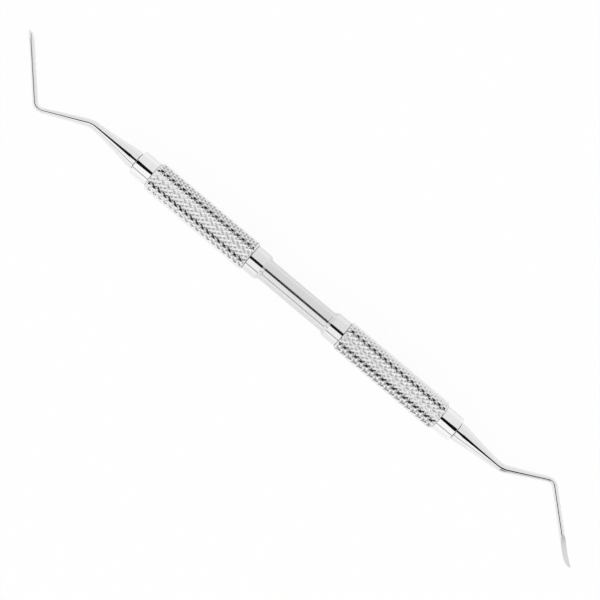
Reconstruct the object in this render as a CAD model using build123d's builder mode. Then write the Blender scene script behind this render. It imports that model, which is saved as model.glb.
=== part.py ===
import os
from math import asin, atan2, cos, degrees, hypot, pi, radians, sin, sqrt, tan

from build123d import *

# Double-ended dental root elevator in stainless steel, lying as it comes to rest. Millimetres.
# X runs along the handle, Z is up, and the origin is on the handle's axis at its middle.
# The handle is one turned and knurled bar. A working end is pressed into each of its sockets:
# a taper, two bends in one plane and a pointed blade with a hollow-ground face. The ends are a
# mirrored pair, so that one blade faces up and the other down.

# Handle
waist_diameter = 5.55
waist_length = 19.4
shoulder_length = 0.9
inner_collar_diameter = 6.9
inner_collar_length = 3.9
outer_collar_diameter = 6.6
outer_collar_length = 4.95
collar_edge = 0.15

# Knurled bands
knurl_diameter = 8.0
knurl_length = 30.2
knurl_depth = 0.32
knurl_starts = 22
knurl_pitch = 1.65
knurl_lead_in = 0.5
knurl_lead_in_depth = 0.42

# Press fit of a working end in its socket
tang_diameter = 3.0
tang_length = 12.0
press_clearance = 0.0
socket_relief = 0.5
tang_point = 0.4
drill_point_angle = 118

# Working end, from the collar to the tip
land_diameter = 4.7
land_length = 1.9
land_edge = 0.12
taper_length = 14.35
neck_diameter = 2.25
neck_slope = 3.5
leg_length = 13.67
leg_angle = 28.2
leg_start_diameter = 1.96
leg_hollow = 0.02
blade_angle = 46.1
blade_shank_diameter = 1.34
gentle_bend_radius = 6.0
gentle_bend_steps = 4
sharp_bend_radius = 2.0
reach = 21.0

# Blade
grinding_wheel_radius = 10.0
point_length = 4.05
tip_offset = 0.55
tip_radius = 0.05
tip_clearance = 0.02
point_steps = 10

# Lengths and places that follow
knurl_start = waist_length / 2 + shoulder_length + inner_collar_length
knurl_end = knurl_start + knurl_length
handle_end = knurl_end + outer_collar_length
socket_diameter = tang_diameter + press_clearance
socket_depth = tang_length + socket_relief
drill_point_depth = socket_diameter / 2 / tan(radians(drill_point_angle / 2))
blade_radius = blade_shank_diameter / 2
rest_height = knurl_diameter / 2 * cos(pi / knurl_starts / 2)


# Bend plane: a plane through the handle's axis, turned about it until the lower blade's tip just
# clears the surface that the knurled bands lie on
point_turn = asin(point_length / grinding_wheel_radius)
tip_rise = grinding_wheel_radius * (1 - cos(point_turn))
corner_height = leg_length * sin(radians(leg_angle))
tip_depth = reach * sin(radians(blade_angle)) - corner_height - tip_offset * cos(radians(blade_angle))
tip_height = rest_height - tip_radius - tip_clearance
roll = degrees(asin(tip_height / hypot(tip_depth, tip_rise)) - atan2(tip_rise, tip_depth))
bend_plane = Plane.XY.rotated((-roll, 0, 0))
print(f"the bend plane is rolled {roll:.2f} degrees and the tip rises {tip_rise:.2f} mm")


# Knurled band: a grid of points whose neighbours are peaks and valleys by turns. A peak and the
# four valleys round it are one diamond, and the end rows are drawn in as a lead-in chamfer. The
# grid is turned by half a step, so that the band lies on two rows of peaks.
def knurled_band(start):
    step = pi / knurl_starts
    peak = knurl_diameter / 2
    valley = peak - knurl_depth
    inner_rows = round((knurl_length - 2 * knurl_lead_in) / (knurl_pitch / 2))
    row_pitch = (knurl_length - 2 * knurl_lead_in) / inner_rows
    stations = [start + knurl_lead_in + row * row_pitch for row in range(inner_rows + 1)]
    stations = [start] + stations + [start + knurl_length]
    last_row = len(stations) - 1
    last_step = 2 * knurl_starts

    def is_peak(row, column):
        return (row + column) % 2 == 0

    def corner(row, column):
        radius = peak if is_peak(row, column) else valley
        if row in (0, last_row):
            radius = peak - knurl_lead_in_depth
        angle = (column % last_step + 0.5) * step
        return Vector(stations[row], radius * cos(angle), radius * sin(angle))

    faces = []
    for row in range(last_row):
        for column in range(last_step):
            square = [
                corner(row, column),
                corner(row + 1, column),
                corner(row + 1, column + 1),
                corner(row, column + 1),
            ]
            # the cut across each square joins its two valleys
            turn = 1 if is_peak(row, column) else 0
            square = square[turn:] + square[:turn]
            faces.append(Face(Wire.make_polygon(square[:3])))
            faces.append(Face(Wire.make_polygon([square[0], square[2], square[3]])))
    for row in (0, last_row):
        faces.append(Face(Wire.make_polygon([corner(row, column) for column in range(last_step)])))
    return Solid(Shell(faces))


# Handle: one turned bar with raised knurled bands and a drilled socket in each end
with BuildPart() as handle:
    with BuildSketch(Plane.XZ):
        with BuildLine():
            Polyline(
                (0, 0),
                (0, waist_diameter / 2),
                (waist_length / 2, waist_diameter / 2),
                (waist_length / 2 + shoulder_length, inner_collar_diameter / 2),
                (knurl_start, inner_collar_diameter / 2),
                (knurl_start, outer_collar_diameter / 2),
                (handle_end - collar_edge, outer_collar_diameter / 2),
                (handle_end, outer_collar_diameter / 2 - collar_edge),
                (handle_end, 0),
                close=True,
            )
        make_face()
        mirror(about=Plane.YZ)
    revolve(axis=Axis.X)
    add([knurled_band(knurl_start), knurled_band(-knurl_end)], clean=False)
    with BuildSketch(Plane.XZ):
        with BuildLine():
            Polyline(
                (handle_end, 0),
                (handle_end, socket_diameter / 2),
                (handle_end - socket_depth, socket_diameter / 2),
                (handle_end - socket_depth - drill_point_depth, 0),
                close=True,
            )
        make_face()
        mirror(about=Plane.YZ)
    revolve(axis=Axis.X, mode=Mode.SUBTRACT, clean=False)


# Centre line of the right working end
def along(angle):
    return bend_plane.x_dir * cos(radians(angle)) + bend_plane.y_dir * sin(radians(angle))


def across(point, direction):
    return Plane(origin=point, x_dir=bend_plane.z_dir, z_dir=direction)


handle_direction = along(0)
leg_direction = along(leg_angle)
blade_direction = along(-blade_angle)
outer_direction = along(90 - blade_angle)
gentle_corner = handle_direction * (handle_end + taper_length)
sharp_corner = gentle_corner + leg_direction * leg_length
gentle_tangent = gentle_bend_radius * tan(radians(leg_angle / 2))
sharp_tangent = sharp_bend_radius * tan(radians((leg_angle + blade_angle) / 2))
neck_end = gentle_corner - handle_direction * gentle_tangent
leg_start = gentle_corner + leg_direction * gentle_tangent
leg_end = sharp_corner - leg_direction * sharp_tangent
straight_leg = (leg_end - leg_start).length
shank_start = sharp_corner + blade_direction * sharp_tangent
point_start = sharp_corner + blade_direction * (reach - point_length)

# Working end on the right
with BuildPart() as right_working_end:
    # tang, land and hollow taper, turned about the handle's axis
    with BuildSketch(bend_plane):
        with BuildLine():
            Polyline(
                (neck_end.X, 0),
                (handle_end - tang_length, 0),
                (handle_end - tang_length, tang_diameter / 2 - tang_point),
                (handle_end - tang_length + tang_point, tang_diameter / 2),
                (handle_end, tang_diameter / 2),
                (handle_end, land_diameter / 2 - land_edge),
                (handle_end + land_edge, land_diameter / 2),
                (handle_end + land_length, land_diameter / 2),
            )
            taper = TangentArc(
                (neck_end.X, neck_diameter / 2),
                (handle_end + land_length, land_diameter / 2),
                tangent=(-cos(radians(neck_slope)), sin(radians(neck_slope))),
            )
            Line((neck_end.X, neck_diameter / 2), (neck_end.X, 0))
        make_face()
    revolve(axis=Axis.X)

    # gentle bend, in short steps that taper from the neck to the leg
    with BuildLine() as gentle_bend:
        TangentArc(neck_end, leg_start, tangent=handle_direction)
    for step in range(gentle_bend_steps + 1):
        share = step / gentle_bend_steps
        with BuildSketch(across(gentle_bend.line @ share, gentle_bend.line % share)):
            Circle((neck_diameter + share * (leg_start_diameter - neck_diameter)) / 2)
    loft(ruled=True)

    # leg, a slightly hollow taper turned about its own axis
    with BuildSketch(Plane(origin=leg_start, x_dir=leg_direction, z_dir=bend_plane.z_dir)):
        with BuildLine():
            Bezier(
                (0, leg_start_diameter / 2),
                (straight_leg / 2, (leg_start_diameter + blade_shank_diameter) / 4 - leg_hollow),
                (straight_leg, blade_shank_diameter / 2),
            )
            Polyline(
                (straight_leg, blade_shank_diameter / 2),
                (straight_leg, 0),
                (0, 0),
                (0, leg_start_diameter / 2),
            )
        make_face()
    revolve(axis=Axis(leg_start, leg_direction))

    # sharp bend and blade shank
    with BuildLine() as blade_line:
        TangentArc(leg_end, shank_start, tangent=leg_direction)
        Line(shank_start, point_start)
    with BuildSketch(across(leg_end, leg_direction)):
        Circle(blade_radius)
    sweep(path=blade_line.line)

    # point: round sections along an arc that leaves the bend plane, shrinking towards the tip
    for step in range(point_steps + 1):
        share = sin(pi / 2 * step / point_steps)
        turn = point_turn * share
        radius = tip_radius + (blade_radius - tip_radius) * sqrt(1 - share**3)
        centre = (
            point_start
            + blade_direction * (grinding_wheel_radius * sin(turn))
            + outer_direction * (tip_offset * (1 - radius / blade_radius))
            + bend_plane.z_dir * (grinding_wheel_radius * (1 - cos(turn)))
        )
        with BuildSketch(across(centre, blade_direction * cos(turn) + bend_plane.z_dir * sin(turn))):
            Circle(radius)
    loft(ruled=True)

    # hollow-ground face, as deep as the centre line where the point begins
    with BuildSketch(Plane(origin=point_start, x_dir=bend_plane.z_dir, z_dir=outer_direction)):
        with Locations((grinding_wheel_radius, 0)):
            Circle(grinding_wheel_radius)
    extrude(amount=2 * blade_shank_diameter, both=True, mode=Mode.SUBTRACT)

# Working end on the left: the mirror image of the right one, set half a turn round from it
with BuildPart() as left_working_end:
    add(mirror(right_working_end.part, about=Plane.YZ, mode=Mode.PRIVATE).rotate(Axis.X, 180))

os.makedirs("parts", exist_ok=True)
handle.part.label = "handle"
export_step(handle.part, "parts/handle.step")
right_working_end.part.label = "right_working_end"
export_step(right_working_end.part, "parts/right_working_end.step")
left_working_end.part.label = "left_working_end"
export_step(left_working_end.part, "parts/left_working_end.step")
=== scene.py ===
from math import asin, atan2, cos, hypot, pi, radians, sin, sqrt, tan

import bpy
import bmesh
import numpy as np
from mathutils import Matrix, Vector


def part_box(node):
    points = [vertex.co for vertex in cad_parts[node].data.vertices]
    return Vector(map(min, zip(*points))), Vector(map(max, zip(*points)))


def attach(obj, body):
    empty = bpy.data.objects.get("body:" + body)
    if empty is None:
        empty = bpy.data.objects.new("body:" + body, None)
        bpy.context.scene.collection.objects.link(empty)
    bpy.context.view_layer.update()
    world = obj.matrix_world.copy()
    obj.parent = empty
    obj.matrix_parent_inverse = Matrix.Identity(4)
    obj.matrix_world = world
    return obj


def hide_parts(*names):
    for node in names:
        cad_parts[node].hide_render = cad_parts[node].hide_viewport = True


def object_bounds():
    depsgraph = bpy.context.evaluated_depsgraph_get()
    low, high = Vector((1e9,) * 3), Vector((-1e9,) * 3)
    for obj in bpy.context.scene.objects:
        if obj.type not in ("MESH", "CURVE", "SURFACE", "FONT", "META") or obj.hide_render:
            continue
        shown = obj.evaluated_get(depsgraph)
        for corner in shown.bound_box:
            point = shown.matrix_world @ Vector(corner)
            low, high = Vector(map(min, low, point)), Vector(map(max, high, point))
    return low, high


# Looks of a double-ended dental root elevator. The frame is in metres, and sizes are written
# in millimetres and multiplied by MM where a mesh is made.
MM = 0.001

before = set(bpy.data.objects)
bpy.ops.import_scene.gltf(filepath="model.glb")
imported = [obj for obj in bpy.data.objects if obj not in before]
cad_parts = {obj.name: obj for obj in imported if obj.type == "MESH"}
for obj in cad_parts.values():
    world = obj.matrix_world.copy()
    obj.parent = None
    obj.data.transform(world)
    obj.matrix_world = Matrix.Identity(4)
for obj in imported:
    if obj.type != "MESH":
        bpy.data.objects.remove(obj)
cad_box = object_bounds()

# Sizes of the handle
WAIST_RADIUS = 5.55 / 2
WAIST_END = 19.4 / 2
SHOULDER = 0.9
FOOT_RADIUS = 0.6
INNER_COLLAR_RADIUS = 6.9 / 2
INNER_COLLAR = 3.9
OUTER_COLLAR_RADIUS = 6.6 / 2
SEAM_WIDTH = 0.14
SEAM_DEPTH = 0.14
KNURL_RADIUS = 8.0 / 2
KNURL_LENGTH = 30.2
KNURL_DEPTH = 0.32
KNURL_STARTS = 22
KNURL_PITCH = 1.65
KNURL_LEAD_IN = 0.5
KNURL_LEAD_IN_DEPTH = 0.42
KNURL_ROUNDING = 0.3
KNURL_START = WAIST_END + SHOULDER + INNER_COLLAR
HANDLE_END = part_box("handle")[1].x / MM
COLLAR_EDGE = 0.15
SOCKET_RADIUS = 3.0 / 2
SOCKET_DEPTH = 12.5
DRILL_POINT_DEPTH = 0.9

# Sizes of a working end
TANG_RADIUS = SOCKET_RADIUS
TANG_LENGTH = 12.0
TANG_POINT = 0.4
LAND_RADIUS = 4.7 / 2
LAND = 1.9
LAND_GROOVE = 0.28
LAND_GROOVE_DEPTH = 0.14
TAPER = 14.35
NECK_RADIUS = 2.25 / 2
NECK_SLOPE = radians(3.5)
LEG = 13.67
LEG_ANGLE = radians(28.2)
LEG_RADIUS = 1.96 / 2
LEG_HOLLOW = 0.02
BLADE_ANGLE = radians(46.1)
ROD_RADIUS = 1.34 / 2
GENTLE_BEND = 6.0
SHARP_BEND = 2.0
WHEEL = 10.0
POINT = 4.05
TIP_OFFSET = 0.55
TIP_RADIUS = 0.05
TIP_CLEARANCE = 0.02

# The blade's reach and its point are a hair less than the solid's, so that the smooth tips stay
# inside its box
REACH = 20.997
POINT_RADIUS = 0.8 * TIP_RADIUS

# Turn of the bend plane about the handle's axis, which sets the lower tip just off the floor. The
# handle lies on two rows of the knurl's peaks.
REST_HEIGHT = KNURL_RADIUS * cos(pi / KNURL_STARTS / 2)
POINT_TURN = asin(POINT / WHEEL)
TIP_RISE = WHEEL * (1 - cos(POINT_TURN))
TIP_DEPTH = REACH * sin(BLADE_ANGLE) - LEG * sin(LEG_ANGLE) - TIP_OFFSET * cos(BLADE_ANGLE)
TIP_HEIGHT = REST_HEIGHT - TIP_RADIUS - TIP_CLEARANCE
ROLL = asin(TIP_HEIGHT / hypot(TIP_DEPTH, TIP_RISE)) - atan2(TIP_RISE, TIP_DEPTH)
BEND_NORMAL = np.array([0, sin(ROLL), cos(ROLL)])
BEND_ACROSS = np.array([0, cos(ROLL), -sin(ROLL)])

# Mesh densities
KNURL_SPLIT = 4
COLUMNS = 2 * KNURL_STARTS * KNURL_SPLIT
EDGE_STEPS = 4
ROD_COLUMNS = 64
FACE_COLUMNS = 12
TAPER_STEPS = 40
GENTLE_STEPS = 16
LEG_STEPS = 24
SHARP_STEPS = 28
SHANK_STEPS = 30
GRIND_STEPS = 36
GRIND_CROWDING = 1.5
POINT_STEPS = 40
MERGE_DISTANCE = 0.0005
SHARP_FROM = radians(24)

# Looks of the steel: the clouds of its roughness in each metre, the part of a noise that is used,
# the change of tint and the depth of its marks
CLOUDS = 180.0
NOISE_SPAN = (0.3, 0.7)
TINT_CHANGE = 0.04
MARK_DEPTH = 0.02


# Nodes
def node(tree, kind, inputs=None, **settings):
    made = tree.nodes.new(kind)
    for name, value in settings.items():
        setattr(made, name, value)
    for name, value in (inputs or {}).items():
        if isinstance(value, bpy.types.NodeSocket):
            tree.links.new(value, made.inputs[name])
        else:
            made.inputs[name].default_value = value
    return made


def maths(tree, operation, *values):
    made = node(tree, "ShaderNodeMath", dict(enumerate(values)), operation=operation)
    return made.outputs[0]


def remap(tree, value, span, result):
    """The value carried from a span to the result's two ends, and held there beyond them."""
    inputs = {"Value": value}
    inputs["From Min"], inputs["From Max"] = span
    inputs["To Min"], inputs["To Max"] = result
    return node(tree, "ShaderNodeMapRange", inputs).outputs["Result"]


def mixed(tree, share, first, second):
    return node(tree, "ShaderNodeMixShader", {0: share, 1: first, 2: second}).outputs[0]


def grey(value):
    return (value, value, value, 1)


def steel(name, colour, roughness, spread, grain, bump):
    """Bare steel: a mottled roughness and fine marks stretched by grain, in marks per millimetre."""
    material = bpy.data.materials.new(name)
    material.use_nodes = True
    tree = material.node_tree
    shader = tree.nodes["Principled BSDF"]
    place = node(tree, "ShaderNodeTexCoord").outputs["Object"]
    stretch = node(tree, "ShaderNodeMapping", {"Vector": place, "Scale": [g / MM for g in grain]})
    stretched = stretch.outputs["Vector"]
    clouds = node(tree, "ShaderNodeTexNoise", {"Vector": place, "Scale": CLOUDS, "Detail": 4.0})
    marks = node(tree, "ShaderNodeTexNoise", {"Vector": stretched, "Scale": 1.0, "Detail": 5.0})
    marks = marks.outputs["Fac"]
    both = maths(tree, "ADD", clouds.outputs["Fac"], marks)
    smoothest = max(roughness - spread, 0.02)
    rough = remap(tree, both, [2 * end for end in NOISE_SPAN], (smoothest, roughness + spread))
    lightest = min(colour * (1 + TINT_CHANGE), 0.99)
    tint = remap(tree, marks, NOISE_SPAN, (colour * (1 - TINT_CHANGE), lightest))
    tone = node(tree, "ShaderNodeCombineColor", {channel: tint for channel in range(3)})
    depth = MARK_DEPTH * MM
    relief = node(tree, "ShaderNodeBump", {"Height": marks, "Strength": bump, "Distance": depth})
    tree.links.new(tone.outputs["Color"], shader.inputs["Base Color"])
    tree.links.new(rough, shader.inputs["Roughness"])
    tree.links.new(relief.outputs["Normal"], shader.inputs["Normal"])
    shader.inputs["Metallic"].default_value = 1.0
    return material


# Meshes
def mesh_object(name, points, faces, slots, materials):
    mesh = bpy.data.meshes.new(name)
    mesh.from_pydata([tuple(p) for p in points], [], faces)
    for material in materials:
        mesh.materials.append(material)
    mesh.polygons.foreach_set("material_index", slots)
    built = bmesh.new()
    built.from_mesh(mesh)
    bmesh.ops.remove_doubles(built, verts=built.verts, dist=MERGE_DISTANCE * MM)
    bmesh.ops.recalc_face_normals(built, faces=built.faces)
    built.to_mesh(mesh)
    built.free()
    mesh.shade_smooth()
    mesh.set_sharp_from_angle(angle=SHARP_FROM)
    made = bpy.data.objects.new(name, mesh)
    bpy.context.scene.collection.objects.link(made)
    return made


def grid_faces(rows, columns, first, closed):
    """Quads of a grid of points whose rows follow each other, closed round if asked."""
    steps = columns if closed else columns - 1
    faces = []
    for row in range(rows - 1):
        low, high = first + row * columns, first + (row + 1) * columns
        for step in range(steps):
            after = (step + 1) % columns
            faces.append((low + step, low + after, high + after, high + step))
    return faces


# Handle
SATIN, COLLAR, POLISHED, KNURL, SEAM = range(5)


def knurl_rows(parity):
    """Stations along a knurled band, each with its ring of radii and its step along the band."""
    steps = round((KNURL_LENGTH - 2 * KNURL_LEAD_IN) / (KNURL_PITCH / 2)) * KNURL_SPLIT
    pitch = (KNURL_LENGTH - 2 * KNURL_LEAD_IN) / steps
    lead = round(KNURL_LEAD_IN / pitch)
    column = np.arange(COLUMNS) / KNURL_SPLIT - 0.5
    for step in range(-lead, steps + lead + 1):
        row = step / KNURL_SPLIT + parity
        across = [abs(v - 2 * np.round(v / 2)) for v in (row + column, row - column)]
        away = np.maximum(*across)
        cut = (1 - KNURL_ROUNDING) * away + KNURL_ROUNDING * (1 - np.cos(pi * away)) / 2
        outside = max(-step, step - steps, 0) / lead
        chamfer = KNURL_RADIUS - KNURL_LEAD_IN_DEPTH * outside
        inside = min(max(step, 0), steps)
        x = KNURL_START + KNURL_LEAD_IN + inside * pitch
        x += KNURL_LEAD_IN * outside * (1 if step > inside else -1)
        yield x, np.minimum(KNURL_RADIUS - KNURL_DEPTH * cut, chamfer), step


def groove_cut(step, column, parity):
    """Whether a groove of the knurl crosses a square of the grid, and along which diagonal."""
    row = step + parity * KNURL_SPLIT
    column -= KNURL_SPLIT // 2
    if (row + column + 1) % (2 * KNURL_SPLIT) == KNURL_SPLIT:
        return "rising"
    if (row - column) % (2 * KNURL_SPLIT) == KNURL_SPLIT:
        return "falling"
    return "none"


def handle_half(parity):
    """Rings of half a handle from its middle to the socket's point: place, radius, slot and step
    along the knurl."""
    collar_start = KNURL_START + KNURL_LENGTH
    slope = atan2(INNER_COLLAR_RADIUS - WAIST_RADIUS, SHOULDER)
    foot = WAIST_END - FOOT_RADIUS * tan(slope / 2)
    edge = WAIST_END + SHOULDER + COLLAR_EDGE * tan(slope / 2)
    rings = [(0.0, WAIST_RADIUS, SATIN)]
    for step in range(EDGE_STEPS + 1):
        turn = slope * step / EDGE_STEPS
        x = foot + FOOT_RADIUS * sin(turn)
        rings += [(x, WAIST_RADIUS + FOOT_RADIUS * (1 - cos(turn)), SATIN)]
    for step in range(EDGE_STEPS + 1):
        turn = slope * (1 - step / EDGE_STEPS)
        x = edge - COLLAR_EDGE * sin(turn)
        rings += [(x, INNER_COLLAR_RADIUS - COLLAR_EDGE * (1 - cos(turn)), COLLAR)]
    rings += [(KNURL_START - SEAM_WIDTH, INNER_COLLAR_RADIUS, COLLAR)]
    # This groove and the one past the knurl take the seam slot, whose dark colour is painted shade.
    rings += [(KNURL_START - SEAM_WIDTH, INNER_COLLAR_RADIUS - SEAM_DEPTH, SEAM)]
    rings += [(KNURL_START, INNER_COLLAR_RADIUS - SEAM_DEPTH, SEAM)]
    rings += [(x, radii, KNURL, step) for x, radii, step in knurl_rows(parity)]
    rings += [(collar_start, OUTER_COLLAR_RADIUS - SEAM_DEPTH, SEAM)]
    rings += [(collar_start + SEAM_WIDTH, OUTER_COLLAR_RADIUS - SEAM_DEPTH, SEAM)]
    rings += [(collar_start + SEAM_WIDTH, OUTER_COLLAR_RADIUS, POLISHED)]
    for step in range(EDGE_STEPS + 1):
        turn = pi / 2 * step / EDGE_STEPS
        x = HANDLE_END - COLLAR_EDGE * (1 - sin(turn))
        rings += [(x, OUTER_COLLAR_RADIUS - COLLAR_EDGE * (1 - cos(turn)), POLISHED)]
    rings += [(HANDLE_END, SOCKET_RADIUS, POLISHED)]
    rings += [(HANDLE_END - SOCKET_DEPTH, SOCKET_RADIUS, POLISHED)]
    rings += [(HANDLE_END - SOCKET_DEPTH - DRILL_POINT_DEPTH, 0.0, POLISHED)]
    return rings


def make_handle(materials):
    angle = 2 * pi * np.arange(COLUMNS) / COLUMNS
    points = []
    faces = []
    slots = []
    for side, parity in ((1, 1), (-1, 0)):
        rings = handle_half(parity)
        first = len(points)
        for x, radii, *_ in rings:
            radii = np.broadcast_to(radii, COLUMNS)
            y = radii * np.cos(angle) * MM
            z = radii * np.sin(angle) * MM
            points += list(zip(np.full(COLUMNS, side * x) * MM, y, z))
        for ring, (before, after) in enumerate(zip(rings, rings[1:])):
            pair = (before[2], after[2])
            slot = max(pair) if SEAM in pair else min(pair)
            knurled = len(before) == 4 and len(after) == 4
            for column in range(COLUMNS):
                low = first + ring * COLUMNS
                high = low + COLUMNS
                beside = (column + 1) % COLUMNS
                square = (low + column, low + beside, high + beside, high + column)
                cut = groove_cut(before[3], column, parity) if knurled else "none"
                if cut == "rising":
                    made = [(square[0], square[1], square[3]), (square[1], square[2], square[3])]
                elif cut == "falling":
                    made = [square[:3], (square[0], square[2], square[3])]
                else:
                    made = [square]
                faces += made
                slots += [slot] * len(made)
    return mesh_object("handle_body", points, faces, slots, materials)


# Working ends. An unground ring has a depth of face beyond any radius. The rings round the land's
# groove are counted from the tang.
ROD, GROUND, GROOVE = range(3)
UNGROUND = 9 * ROD_RADIUS
GROOVE_FROM = 4
GROOVE_TO = 6


def along(angle):
    return np.array([cos(angle), 0, 0]) + BEND_ACROSS * sin(angle)


def taper_radius(share):
    """Radius of the hollow taper, an arc that leaves the neck at NECK_SLOPE."""
    end = HANDLE_END + LAND
    neck = HANDLE_END + TAPER - GENTLE_BEND * tan(LEG_ANGLE / 2)
    chord = np.array([neck - end, LAND_RADIUS - NECK_RADIUS])
    outward = np.array([-sin(NECK_SLOPE), cos(NECK_SLOPE)])
    arc = chord @ chord / (2 * chord @ outward)
    centre = outward * arc
    x = (neck - end) * (1 - share)
    return NECK_RADIUS + centre[1] - sqrt(arc**2 - (x - centre[0]) ** 2)


def bend(corner, turn_from, turn_to, size, steps):
    """Centres and directions round a bend of that radius between two headings."""
    turn = turn_to - turn_from
    tangent = size * tan(abs(turn) / 2)
    start = corner - along(turn_from) * tangent
    side = along(turn_from + pi / 2 * (1 if turn > 0 else -1))
    centre = start + side * size
    for step in range(steps + 1):
        heading = turn_from + turn * step / steps
        out = along(heading - pi / 2 * (1 if turn > 0 else -1))
        yield centre + out * size, along(heading)


def stations():
    """Centre, direction, radius and depth of the face for each ring from the tang to the tip."""
    axis = along(0)
    gentle_corner = axis * (HANDLE_END + TAPER)
    sharp_corner = gentle_corner + along(LEG_ANGLE) * LEG
    point_start = sharp_corner + along(-BLADE_ANGLE) * (REACH - POINT)
    outer = along(pi / 2 - BLADE_ANGLE)
    blade = along(-BLADE_ANGLE)
    tang = HANDLE_END - TANG_LENGTH
    for x, radius in (
        (tang, 0),
        (tang, TANG_RADIUS - TANG_POINT),
        (tang + TANG_POINT, TANG_RADIUS),
        (HANDLE_END, TANG_RADIUS),
        (HANDLE_END, LAND_RADIUS - LAND_GROOVE_DEPTH),
        (HANDLE_END + LAND_GROOVE, LAND_RADIUS - LAND_GROOVE_DEPTH),
        (HANDLE_END + LAND_GROOVE, LAND_RADIUS),
    ):
        yield axis * x, axis, radius, UNGROUND
    neck = HANDLE_END + TAPER - GENTLE_BEND * tan(LEG_ANGLE / 2)
    for step in range(TAPER_STEPS + 1):
        share = step / TAPER_STEPS
        x = HANDLE_END + LAND + (neck - HANDLE_END - LAND) * share
        yield axis * x, axis, taper_radius(share), UNGROUND
    gentle = list(bend(gentle_corner, 0, LEG_ANGLE, GENTLE_BEND, GENTLE_STEPS))
    for step, (centre, heading) in enumerate(gentle[1:], 1):
        radius = NECK_RADIUS + (LEG_RADIUS - NECK_RADIUS) * step / GENTLE_STEPS
        yield centre, heading, radius, UNGROUND
    sharp = list(bend(sharp_corner, LEG_ANGLE, -BLADE_ANGLE, SHARP_BEND, SHARP_STEPS))
    leg_start, leg_end = gentle[-1][0], sharp[0][0]
    for step in range(1, LEG_STEPS):
        share = step / LEG_STEPS
        radius = LEG_RADIUS + (ROD_RADIUS - LEG_RADIUS) * share - 2 * LEG_HOLLOW * share * (1 - share)
        yield leg_start + (leg_end - leg_start) * share, along(LEG_ANGLE), radius, UNGROUND
    for centre, heading in sharp:
        yield centre, heading, ROD_RADIUS, UNGROUND
    run_out = sqrt(WHEEL**2 - (WHEEL - ROD_RADIUS) ** 2)
    face_start = point_start - blade * run_out
    for step in range(1, SHANK_STEPS):
        centre = sharp[-1][0] + (face_start - sharp[-1][0]) * step / SHANK_STEPS
        yield centre, blade, ROD_RADIUS, UNGROUND
    for step in range(GRIND_STEPS + 1):
        before = run_out * (1 - (step / GRIND_STEPS) ** GRIND_CROWDING)
        yield point_start - blade * before, blade, ROD_RADIUS, WHEEL - sqrt(WHEEL**2 - before**2)
    for step in range(1, POINT_STEPS + 1):
        share = sin(pi / 2 * step / POINT_STEPS)
        turn = POINT_TURN * share
        radius = POINT_RADIUS + (ROD_RADIUS - POINT_RADIUS) * sqrt(1 - share**3)
        centre = (
            point_start
            + blade * (WHEEL * sin(turn))
            + outer * (TIP_OFFSET * (1 - radius / ROD_RADIUS))
            + BEND_NORMAL * (WHEEL * (1 - cos(turn)))
        )
        yield centre, blade * cos(turn) + BEND_NORMAL * sin(turn), radius, 0.0
    yield centre, blade * cos(turn) + BEND_NORMAL * sin(turn), 0.0, 0.0


def make_working_end(name, side, materials):
    """Both ends come from one list of rings. The left one is the right one's image through the
    origin."""
    backs = []
    fronts = []
    for centre, heading, radius, depth in stations():
        right = np.cross(heading, BEND_NORMAL)
        right /= np.linalg.norm(right)
        up = np.cross(right, heading)
        edge = asin(min(depth / radius, 1)) if radius > 0 else pi / 2
        turns = np.linspace(edge, -pi - edge, ROD_COLUMNS + 1)
        ring = [centre + radius * (right * cos(t) + up * sin(t)) for t in turns]
        backs.append(ring)
        if depth < radius or depth == 0.0:
            shares = np.linspace(0, 1, FACE_COLUMNS + 1)
            fronts.append([ring[-1] + (ring[0] - ring[-1]) * share for share in shares])
        elif fronts == [] and abs(depth - radius) < 1e-6:
            fronts.append([ring[0]] * (FACE_COLUMNS + 1))
    points = [p for ring in backs for p in ring]
    faces = grid_faces(len(backs), ROD_COLUMNS + 1, 0, False)
    slots = [ROD] * len(faces)
    # The land's groove takes the seam material, whose dark colour is painted shade in the groove.
    groove_faces = range(GROOVE_FROM * ROD_COLUMNS, GROOVE_TO * ROD_COLUMNS)
    for face in groove_faces:
        slots[face] = GROOVE
    first = len(points)
    points += [p for row in fronts for p in row]
    front_faces = grid_faces(len(fronts), FACE_COLUMNS + 1, first, False)
    faces += front_faces
    slots += [GROUND] * len(front_faces)
    points = [np.array(p) * MM * side for p in points]
    return mesh_object(name, points, faces, slots, materials)


satin = steel("satin_steel", 0.80, 0.16, 0.04, (12, 0.4, 0.4), 0.15)
collar = steel("collar_steel", 0.87, 0.08, 0.03, (12, 0.4, 0.4), 0.08)
polished = steel("polished_steel", 0.95, 0.05, 0.02, (6, 0.4, 0.4), 0.04)
knurled = steel("knurled_steel", 0.9, 0.1, 0.05, (2, 2, 2), 0.3)
rod = steel("rod_steel", 0.9, 0.045, 0.02, (0.5, 3, 3), 0.03)
ground = steel("ground_steel", 0.85, 0.35, 0.08, (14, 1, 1), 0.6)
# The seam material's near-black colour is painted shade. It darkens the narrow grooves beside the
# knurl and round the land, where shade falls.
seam = steel("seam_painted_shade", 0.12, 0.5, 0.1, (4, 4, 4), 0.3)

handle = make_handle([satin, collar, polished, knurled, seam])
right_end = make_working_end("right_end", 1, [rod, ground, seam])
left_end = make_working_end("left_end", -1, [rod, ground, seam])
for piece, cad_node, slot in (
    (handle, "handle", "handle_steel"),
    (right_end, "right_working_end", "end_steel"),
    (left_end, "left_working_end", "end_steel"),
):
    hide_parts(cad_node)
    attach(piece, "root")

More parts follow.
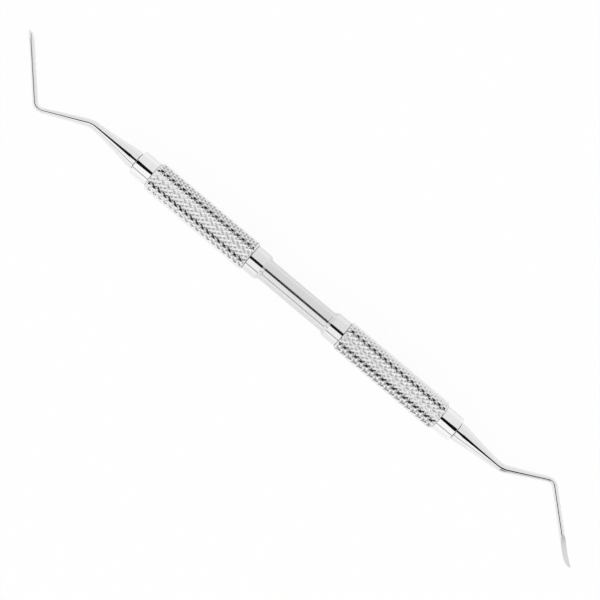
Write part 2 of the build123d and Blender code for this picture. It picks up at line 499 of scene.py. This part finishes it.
# Floor, as wide as shows from any side. It looks white from the camera and greyer in the steel.
FLOOR = cad_box[0][2]
FLOOR_HALF = 4.0
FLOOR_GLOW = 0.94
FLOOR_GLOW_IN_STEEL = 0.35
PAPER_TONE = 0.93
floor_mesh = bpy.data.meshes.new("floor")
corners = [(-1, -1), (1, -1), (1, 1), (-1, 1)]
floor_points = [(x * FLOOR_HALF, y * FLOOR_HALF, FLOOR) for x, y in corners]
floor_mesh.from_pydata(floor_points, [], [(0, 1, 2, 3)])
floor = bpy.data.objects.new("floor", floor_mesh)
bpy.context.scene.collection.objects.link(floor)
paper = bpy.data.materials.new("white_paper")
paper.use_nodes = True
tree = paper.node_tree
shader = tree.nodes["Principled BSDF"]
shader.inputs["Base Color"].default_value = grey(PAPER_TONE)
shader.inputs["Roughness"].default_value = 1.0
shader.inputs["Specular IOR Level"].default_value = 0.0
ray = node(tree, "ShaderNodeLightPath").outputs
straight = maths(tree, "MULTIPLY", ray["Is Camera Ray"], FLOOR_GLOW)
bounced = maths(tree, "MAXIMUM", ray["Is Glossy Ray"], ray["Is Transmission Ray"])
bounced = maths(tree, "MULTIPLY", bounced, FLOOR_GLOW_IN_STEEL)
share = maths(tree, "MAXIMUM", straight, bounced)
glow = node(tree, "ShaderNodeEmission", {"Color": grey(1.0), "Strength": 1.0})
surface = mixed(tree, share, shader.outputs[0], glow.outputs[0])
tree.links.new(surface, tree.nodes["Material Output"].inputs["Surface"])
floor_mesh.materials.append(paper)

# Surroundings: a white tent with a dark slit over the handle, which opens out and closes again along
# it, and a thin grey seam low on the side of -Y. Angles are the lean of a direction from straight up
# towards Y. The tent shows in the steel, the sky lights the floor, mostly from the side of -Y, and
# the camera sees plain white.
SLIT = radians(11)
SLIT_EDGE = radians(0.5)
SLIT_TONE = 0.005
SLIT_OPENS = 1.6
SLIT_OPENS_FROM = 0.12
SLIT_CLOSES = (0.6, 0.7)
LOWEST = 0.05
CORNER_FROM = (0.46, 0.5)
CORNER_TO = (0.7, 0.8)
CORNER_ACROSS = (-0.2, 0.0)
CORNER_TONE = 0.45
TENT = (
    (-90, 1.0),
    (-65.5, 1.0),
    (-64.5, 0.2),
    (-58.5, 0.2),
    (-57.5, 0.97),
    (-11, 0.97),
    (11, 0.83),
    (60, 0.83),
    (90, 0.86),
)
SKY = ((-90, 1.7), (0, 1.0), (90, 0.2))
world = bpy.data.worlds.new("tent")
bpy.context.scene.world = world
world.use_nodes = True
tree = world.node_tree


def ramp(fac, stops):
    made = node(tree, "ShaderNodeValToRGB", {"Fac": fac})
    elements = made.color_ramp.elements
    while len(elements) < len(stops):
        elements.new(0.5)
    for element, (angle, value) in zip(elements, stops):
        element.position = (angle + 90) / 180
        element.color = grey(value)
    return made.outputs["Color"]


def background(colour, strength):
    return node(tree, "ShaderNodeBackground", {"Color": colour, "Strength": strength}).outputs[0]


place = node(tree, "ShaderNodeTexCoord").outputs["Generated"]
x, y, z = node(tree, "ShaderNodeSeparateXYZ", {0: place}).outputs
lean = maths(tree, "ARCTAN2", y, z)
where = remap(tree, lean, (-pi / 2, pi / 2), (0.0, 1.0))
run = maths(tree, "DIVIDE", x, maths(tree, "MAXIMUM", z, LOWEST))
run = maths(tree, "ABSOLUTE", run)
opens = remap(tree, run, SLIT_CLOSES, (SLIT_OPENS, 0.0))
run = maths(tree, "MAXIMUM", maths(tree, "SUBTRACT", run, SLIT_OPENS_FROM), 0.0)
opening = maths(tree, "ADD", maths(tree, "MULTIPLY", run, opens), 1.0)
aside = maths(tree, "DIVIDE", maths(tree, "ABSOLUTE", lean), opening)
lit = remap(tree, aside, (SLIT - SLIT_EDGE, SLIT + SLIT_EDGE), (SLIT_TONE, 1.0))

# Two opposite corners of the tent are greyer, which picks out one set of the knurl's grooves
distance = maths(tree, "ABSOLUTE", x)
far = remap(tree, distance, CORNER_FROM, (0.0, 1.0))
near = remap(tree, distance, CORNER_TO, (1.0, 0.0))
cornered = remap(tree, maths(tree, "MULTIPLY", x, y), CORNER_ACROSS, (1.0 - CORNER_TONE, 0.0))
loss = maths(tree, "MULTIPLY", maths(tree, "MULTIPLY", far, near), cornered)
strength = maths(tree, "MULTIPLY", lit, maths(tree, "SUBTRACT", 1.0, loss))

tent = background(ramp(where, TENT), strength)
sky = background(ramp(where, SKY), 1.0)
white = background(grey(1.0), 1.0)
ray = node(tree, "ShaderNodeLightPath").outputs
lights = mixed(tree, ray["Is Diffuse Ray"], tent, sky)
shown = mixed(tree, ray["Is Camera Ray"], lights, white)
tree.links.new(shown, tree.nodes["World Output"].inputs["Surface"])

# Camera, straight above. RIGHT and UP are the picture's, and AIM is its middle, in millimetres.
CAMERA_HEIGHT = 359.0
FOCAL_SHARE = 1500 / 600
RIGHT = Vector((0.7646, 0.6445, 0)).normalized()
UP = Vector((-RIGHT.y, RIGHT.x, 0))
AIM = RIGHT * 0.80 - UP * 0.99
camera_data = bpy.data.cameras.new("camera")
camera_data.lens = camera_data.sensor_width * FOCAL_SHARE
camera = bpy.data.objects.new("camera", camera_data)
bpy.context.scene.collection.objects.link(camera)
camera.matrix_world = Matrix(
    (
        (RIGHT.x, UP.x, 0, AIM.x * MM),
        (RIGHT.y, UP.y, 0, AIM.y * MM),
        (0, 0, 1, CAMERA_HEIGHT * MM),
        (0, 0, 0, 1),
    )
)
camera_data.clip_start = 0.01
bpy.context.scene.camera = camera

bpy.context.scene.view_settings.view_transform = "Standard"
